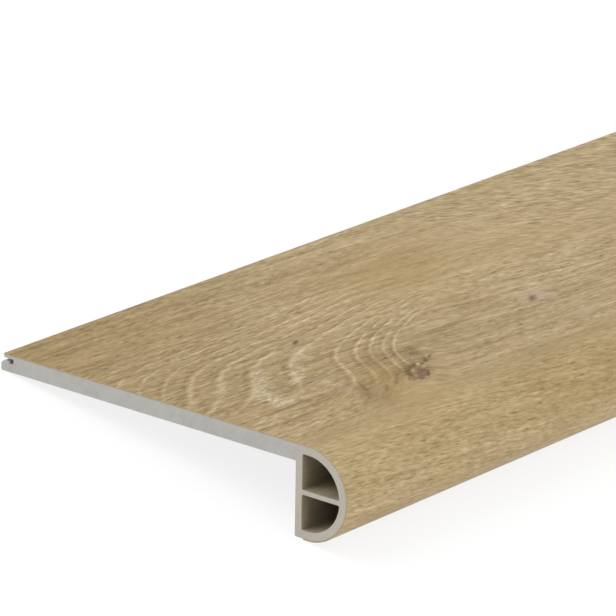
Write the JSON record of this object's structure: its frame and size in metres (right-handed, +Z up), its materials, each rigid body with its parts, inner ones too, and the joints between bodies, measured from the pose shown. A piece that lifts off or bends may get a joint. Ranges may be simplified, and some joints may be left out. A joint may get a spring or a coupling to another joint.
{
  "type": "stair tread",
  "caption": "Wood-print stair tread: a flat rigid vinyl board with a hollow half-round nose and a click groove along its back edge.",
  "frame": {"origin": "middle of the tread's outline, on the floor it lies on", "axes": "+X along the length, -Y the way the nose faces, +Z up from the floor; the board slopes down to its back edge, as it lies at rest"},
  "size_m": [1.22, 0.1794, 0.0392],
  "materials": {
    "core": "matt light grey filled vinyl, saw-cut at the ends",
    "film": "satin wood print in light oak tones, with a fine grain relief"
  },
  "bodies": {
    "root": {"extruded_core": "core", "printed_wear_layer": "film"}
  },
  "joints": []
}
